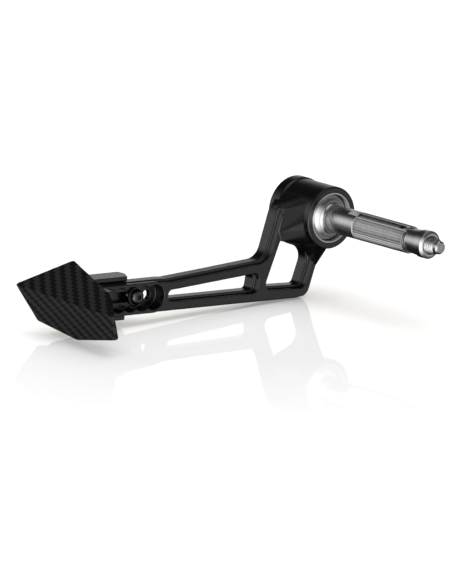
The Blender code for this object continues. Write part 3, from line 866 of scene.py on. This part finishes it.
def make_cone(material):
    low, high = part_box("expander_cone")
    front = low.y / MM
    back = high.y / MM
    shoulder = front + 5.5
    bore = BOLT_RADIUS + 0.1

    def taper_radius(y):
        return MOUTH_RADIUS - 0.35 - TAPER * (y - SHAFT_END)

    profile = [
        (bore + 0.2, back),
        (taper_radius(back) - 0.3, back),
        (taper_radius(back - 0.3), back - 0.3),
        (taper_radius(SHAFT_END - 1.0), SHAFT_END - 1.0),
        (taper_radius(shoulder) - 0.1, shoulder),
        (NOSE_RADIUS - 0.15, shoulder - 0.1),
        (NOSE_RADIUS, shoulder - 0.3),
        (NOSE_RADIUS, front + 1.1),
        (NOSE_RADIUS - 0.1, front + 0.95),
        (NOSE_RADIUS - 1.3, front + 0.05),
        (NOSE_RADIUS - 1.45, front),
        (bore + 0.6, front),
        (bore, front + 0.6),
        (bore, back - 0.5),
    ]
    return piece(as_object("cone", turned(profile)), "cone_nut", "cone", material,
                 ["expander_cone"], 24.0)


def thread(radius, y, angle):
    """Radius of a screw thread at a place along Y and round it."""
    turn = (y / THREAD_PITCH + angle / (2.0 * math.pi)) % 1.0
    return radius - THREAD_DEPTH * min(1.0, max(0.0, 1.25 * abs(2.0 * turn - 1.0) - 0.12))


def make_bolt(material):
    low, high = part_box("clamp_bolt")
    end = low.y / MM
    head_back = high.y / MM
    seat = head_back - BOLT_HEAD_HEIGHT
    head_radius = high.x / MM
    rows = int((THREAD_START - DOG_START) / 0.1)

    def radius_at(radius, y, angle):
        if radius != BOLT_RADIUS or y > THREAD_START:
            return radius
        lead_in = min(1.0, (y - DOG_START) / 0.8)
        return DOG_RADIUS + (thread(radius, y, angle) - DOG_RADIUS) * lead_in

    profile = [
        (0.0, end),
        (1.75, end),
        (1.9, end + 0.08),
        (2.5, end + 0.12),
        (DOG_RADIUS - 0.15, end + DOG_CHAMFER - 0.25),
        (DOG_RADIUS, end + DOG_CHAMFER),
        (DOG_RADIUS, DOG_START - 0.1),
    ]
    profile += stretch(BOLT_RADIUS, DOG_START, THREAD_START, rows)
    profile += [
        (BOLT_RADIUS, seat),
        (head_radius, seat),
        (head_radius, head_back - 0.6),
        (head_radius - 0.25, head_back - 0.15),
        (head_radius - 0.6, head_back),
        (0.0, head_back),
    ]
    bolt = as_object("bolt", turned(profile, 64, radius_at))
    socket = prism(hexagon(BOLT_SOCKET), head_back - BOLT_SOCKET_DEPTH, head_back + 1.0)
    combined(bolt, "DIFFERENCE", socket)
    return piece(bolt, "bolt_m8", "bolt", material, ["clamp_bolt"], 30.0)


# ---------------------------------------------------------------- carrier and blade

def carrier_frame():
    """Carrier axes: origin on the screw's axis, X along the tip towards the hub."""
    x, z = station(STATION_IN_USE)
    return Matrix.Translation((x, 0.0, z)) @ Matrix.Rotation(ARM_TILT, 4, "Y")


def blade_frame():
    """Blade axes: X to the back, -Y inboard along the crease, Z up."""
    return Matrix.Translation(BLADE_CORNER) @ Matrix.Rotation(BLADE_DROOP, 4, "X")


def across_blade(bm, inboard):
    """Turn a solid made about Y so that its axis crosses the blade at a place on the crease."""
    turn = Matrix.Rotation(math.radians(-90.0), 4, "Z")
    return placed(bm, blade_frame() @ Matrix.Translation((0.0, -inboard, 0.0)) @ turn)


def behind_blade(inboard):
    """Axes for a screw or washer that was made facing -Y and goes into the pad from its back."""
    turn = Matrix.Rotation(math.radians(90.0), 4, "Z")
    return blade_frame() @ Matrix.Translation((0.0, -inboard, 0.0)) @ turn


def pad_solid():
    """Pad behind the blade: its front follows the fold, its back is flat."""
    start, end = PAD_INBOARD
    clear = BLADE_THICKNESS + 0.1
    section = [(clear, 0.0), (clear + UPPER_LEAN * PAD_TOP, PAD_TOP), (PAD_BACK, PAD_TOP),
               (PAD_BACK, PAD_BOTTOM), (clear - LOWER_LEAN * PAD_BOTTOM, PAD_BOTTOM)]
    return placed(prism(section, -end, -start), blade_frame())


def make_carrier(material):
    frame = carrier_frame()
    half_arm = 0.5 * TIP_HEIGHT + CLEARANCE
    body = rounded([(NECK_END + 2.0, CARRIER_BOTTOM, 4.5), (CARRIER_HUB_END, CARRIER_BOTTOM, 4.5),
                    (CARRIER_HUB_END, CARRIER_TOP, 4.5), (NECK_END + 2.0, CARRIER_TOP, 4.5)])
    carrier = as_object("carrier", placed(prism(body, FLANGE_REACH, CARRIER_BACK), frame))
    channel = [(NECK_START, -half_arm), (10.0, -half_arm), (10.0, half_arm), (NECK_START, half_arm)]
    combined(carrier, "DIFFERENCE", placed(prism(channel, 5.0, ARM_BACK + CLEARANCE), frame))
    slant = [(CHANNEL_HUB_END, FLANGE_REACH), (CARRIER_HUB_END, CARRIER_BACK), (20.0, CARRIER_BACK),
             (20.0, FLANGE_REACH - 5.0), (CHANNEL_HUB_END - 4.0, FLANGE_REACH - 5.0)]
    upright = Matrix.Rotation(math.radians(-90.0), 4, "X")
    combined(carrier, "DIFFERENCE", placed(prism(slant, -20.0, 20.0), frame @ upright))
    tongue = arc((0.0, 0.0), 5.6, -90.0, 90.0, 40) + [(-8.0, 5.6), (-8.0, -5.6)]
    combined(carrier, "UNION", placed(prism(tongue, ARM_BACK + CLEARANCE, CARRIER_BACK), frame))
    neck_half = 7.8
    neck = rounded([(NECK_END, -neck_half, 0.0), (NECK_START - 0.5, -neck_half, 2.0),
                    (NECK_START - 0.5, neck_half, 2.0), (NECK_END, neck_half, 0.0)])
    combined(carrier, "UNION", placed(prism(neck, 13.0, CARRIER_BACK - 0.4), frame))
    combined(carrier, "UNION", pad_solid())
    insert_hole = turned([(0.0, ARM_BACK - 1.0), (3.35, ARM_BACK - 1.0), (3.35, CARRIER_BACK + 1.0),
                          (0.0, CARRIER_BACK + 1.0)], 64)
    combined(carrier, "DIFFERENCE", placed(insert_hole, frame))
    for inboard in BOSS_PLACES.values():
        wide = BOSS_RADIUS + CLEARANCE
        narrow = SCREW_RADIUS + CLEARANCE
        hole = turned([(0.0, 0.0), (wide, 0.0), (wide, 7.0), (narrow, 7.0), (narrow, 20.0),
                       (0.0, 20.0)], 64)
        combined(carrier, "DIFFERENCE", across_blade(hole, inboard))
    softened(carrier)
    return piece(carrier, "carrier_body", "carrier", material,
                 ["blade_carrier"], 70.0)


def blade_outline():
    """Seen from the front: distance inboard from the corner, height over the crease."""
    corners = [
        (0.8, 0.0, 0.0),
        (2.2, 1.3, 0.0),
        (37.3, 19.7, 0.8),
        (66.5, 9.2, 9.0),
        (70.4, 0.0, 0.0),
        (68.8, -12.6, 3.0),
        (37.8, -19.9, 1.5),
        (10.5, -16.4, 1.5),
        (2.0, -2.2, 0.0),
    ]
    return rounded(corners)


def make_blade(material):
    """Shield folded along its crease, moulded with eased edges."""
    bm = bmesh.new()
    pairs = []
    outline = blade_outline()
    for inboard, height in outline:
        lean = UPPER_LEAN if height > 0.0 else LOWER_LEAN
        front = lean * abs(height)
        near = bm.verts.new((front, -inboard, height))
        far = bm.verts.new((front + BLADE_THICKNESS, -inboard, height))
        pairs.append((near, far))
    crease_end = [height for inboard, height in outline].index(0.0, 1)
    for half in (pairs[:crease_end + 1], pairs[crease_end:] + pairs[:1]):
        bm.faces.new([near for near, far in half])
        bm.faces.new([far for near, far in reversed(half)])
        for first, second in zip(half, half[1:]):
            bm.faces.new((first[0], first[1], second[1], second[0]))
    blade = as_object("blade", placed(bm, blade_frame()))
    softened(blade, 0.3, 4)
    return piece(blade, "shield_blade", "carrier", material, ["carbon_blade"], 70.0)


def button_screw(seat, end):
    """M4 button-head screw about Y that faces -Y, with a hexagon socket."""
    top = seat - 0.58 * SCREW_HEAD_RADIUS
    rim = seat - 0.25
    flat = 0.45
    profile = [(0.0, top), (flat * SCREW_HEAD_RADIUS, top)]
    for step in range(1, 9):
        angle = math.radians(90.0 * step / 8)
        profile.append((SCREW_HEAD_RADIUS * (flat + (1.0 - flat) * math.sin(angle)),
                        rim - (rim - top) * math.cos(angle)))
    profile += [(SCREW_HEAD_RADIUS - 0.1, seat), (SCREW_RADIUS, seat)]

    def radius_at(here, y, angle):
        if here != SCREW_RADIUS or y < seat + 0.6:
            return here
        turn = (y / SCREW_PITCH + angle / (2.0 * math.pi)) % 1.0
        return here - SCREW_THREAD_DEPTH * abs(2.0 * turn - 1.0)

    profile += stretch(SCREW_RADIUS, seat + 0.1, end - 0.4, int((end - seat) / 0.12))
    profile += [(SCREW_RADIUS - 0.6, end), (0.0, end)]
    screw = as_object("screw", turned(profile, 48, radius_at))
    socket = prism(hexagon(SCREW_SOCKET), top - 1.0, top + SCREW_SOCKET_DEPTH)
    combined(screw, "DIFFERENCE", socket)
    return screw


def washer(inner, outer, front, back):
    return turned(eased([(inner, front), (outer, front), (outer, back), (inner, back)], 0.15), 64)


def make_fasteners(steel, steel_in_shade, alloy):
    frame = carrier_frame()
    seat = 20.6
    screw = button_screw(seat, seat + SCREW_LENGTH)
    screw.data.transform(frame)
    # The reach screw and its washer take the darker steel: painted shade in the pocket.
    piece(screw, "reach_button_screw", "reach_fastener", steel_in_shade, ["reach_screw"], 35.0)
    back = POCKET_FLOOR - 0.05
    ring = placed(washer(WASHER_BORE, 4.5, back - WASHER_THICKNESS, back), frame)
    piece(as_object("washer", ring), "reach_plain_washer", "carrier", steel_in_shade,
          ["reach_washer"], 35.0)
    insert = placed(washer(THREADED_BORE, INSERT_RADIUS, ARM_BACK + 0.6, CARRIER_BACK - 0.2), frame)
    piece(as_object("insert", insert), "thread_insert", "carrier", steel,
          ["reach_screw_insert"], 35.0)
    for place, inboard in BOSS_PLACES.items():
        boss = washer(THREADED_BORE, BOSS_RADIUS, BLADE_THICKNESS + 0.05, BOSS_DEPTH)
        piece(as_object("boss", across_blade(boss, inboard)), "boss_" + place, "carrier",
              alloy, ["blade_boss_" + place], 35.0)
        front = -(PAD_BACK + WASHER_THICKNESS)
        ring = placed(washer(WASHER_BORE, 4.4, front, -PAD_BACK), behind_blade(inboard))
        piece(as_object("washer", ring), "pad_washer_" + place, "carrier", steel,
              ["blade_washer_" + place], 35.0)
        screw = button_screw(front, -5.2)
        screw.data.transform(behind_blade(inboard))
        piece(screw, "pad_screw_" + place, "carrier", steel,
              ["blade_screw_" + place], 35.0)


# ---------------------------------------------------------------- studio

def make_camera():
    forward = Vector((math.sin(CAMERA_YAW) * math.cos(CAMERA_PITCH),
                      math.cos(CAMERA_YAW) * math.cos(CAMERA_PITCH),
                      -math.sin(CAMERA_PITCH)))
    level = Vector((math.cos(CAMERA_YAW), -math.sin(CAMERA_YAW), 0.0))
    upright = level.cross(forward)
    right = math.cos(CAMERA_ROLL) * level + math.sin(CAMERA_ROLL) * upright
    up = -math.sin(CAMERA_ROLL) * level + math.cos(CAMERA_ROLL) * upright
    data = bpy.data.cameras.new("camera")
    data.sensor_fit = "AUTO"
    data.sensor_width = SENSOR
    data.lens = SENSOR * CAMERA_DISTANCE / VIEW_HEIGHT
    data.clip_start = 0.1
    data.clip_end = 200.0
    camera = bpy.data.objects.new("camera", data)
    bpy.context.scene.collection.objects.link(camera)
    matrix = Matrix((right, up, -forward)).transposed().to_4x4()
    matrix.translation = right * AIM_RIGHT + up * AIM_UP - forward * CAMERA_DISTANCE
    camera.matrix_world = matrix
    bpy.context.scene.camera = camera


def make_floor(lowest):
    bm = bmesh.new()
    bmesh.ops.create_grid(bm, x_segments=8, y_segments=8, size=FLOOR_HALF_WIDTH)
    mesh = bpy.data.meshes.new("studio_floor")
    bm.to_mesh(mesh)
    bm.free()
    mesh.materials.append(floor_material())
    floor = bpy.data.objects.new("studio_floor", mesh)
    floor.location.z = lowest
    floor.visible_glossy = False
    bpy.context.scene.collection.objects.link(floor)


# Soft lights painted on the sky: direction, level, cosine of the angle where the light ends,
# and how steeply it fades
GLOWS = {
    "left_back": ((-0.644, 0.724, 0.20), 0.85, 0.743, 3.0),
    "right_back": ((0.68, 0.73, 0.05), 0.65, 0.80, 2.0),
    "right_front": ((0.652, -0.724, -0.225), 0.42, 0.30, 2.0),
    "left_front": ((-0.70, -0.62, -0.20), 1.90, 0.40, 1.5),
    "overhead": ((0.0, 0.0, 1.0), 0.70, 0.80, 1.0),
}
SKY_LEVEL = 0.012
# Suns: direction, strength and spread in degrees
SUNS = {
    "sun_front": ((-0.22, -0.30, 0.93), 1.75, 55.0),
    "sun_back": ((0.22, 0.30, 0.93), 1.50, 80.0),
}


def make_lights():
    """Suns and painted sky; the camera itself sees a white sky past the floor."""
    world = bpy.data.worlds.new("studio")
    bpy.context.scene.world = world
    world.use_nodes = True
    nodes = Nodes(world.node_tree)
    way = nodes.tree.nodes.new("ShaderNodeTexCoord").outputs["Generated"]
    total = SKY_LEVEL
    for direction, level, reach, power in GLOWS.values():
        near = nodes.dot(way, Vector(direction).normalized())
        near = nodes.calc("DIVIDE", nodes.calc("SUBTRACT", near, reach), 1.0 - reach, clamp=True)
        glow = nodes.calc("MULTIPLY", nodes.calc("POWER", near, power), level)
        total = nodes.calc("ADD", total, glow)
    seen = nodes.tree.nodes.new("ShaderNodeLightPath").outputs["Is Camera Ray"]
    background = nodes.tree.nodes["Background"]
    nodes.feed(background.inputs["Strength"], nodes.calc("MAXIMUM", total, seen))
    background.inputs["Color"].default_value = (1.0, 1.0, 1.0, 1.0)
    for name, (direction, energy, spread) in SUNS.items():
        data = bpy.data.lights.new(name, "SUN")
        data.energy = energy
        data.angle = math.radians(spread)
        light = bpy.data.objects.new(name, data)
        bpy.context.scene.collection.objects.link(light)
        light.rotation_euler = Vector(direction).to_track_quat("Z", "Y").to_euler()
        light.visible_glossy = False


# ---------------------------------------------------------------- scene

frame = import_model()
cad_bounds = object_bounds()

make_camera()
bpy.context.scene.view_settings.view_transform = "Standard"
make_floor(cad_bounds[0].z - 0.0001)
make_lights()

black = anodised()
alloy = turned_alloy()
steel = plated_steel()
polymer = white_polymer()

make_arm(black)
make_adapter(alloy)
make_bush(alloy)
make_cone(alloy)
make_bolt(steel)
flat_ring("thrust_washer", "thrust_ring", "arm", polymer,
          SPIGOT_RADIUS + CLEARANCE)
flat_ring("bolt_washer", "bolt_ring", "arm", steel, BOLT_RADIUS + CLEARANCE)
make_carrier(black)
make_blade(twill_carbon())
make_fasteners(steel, black_steel(), alloy)
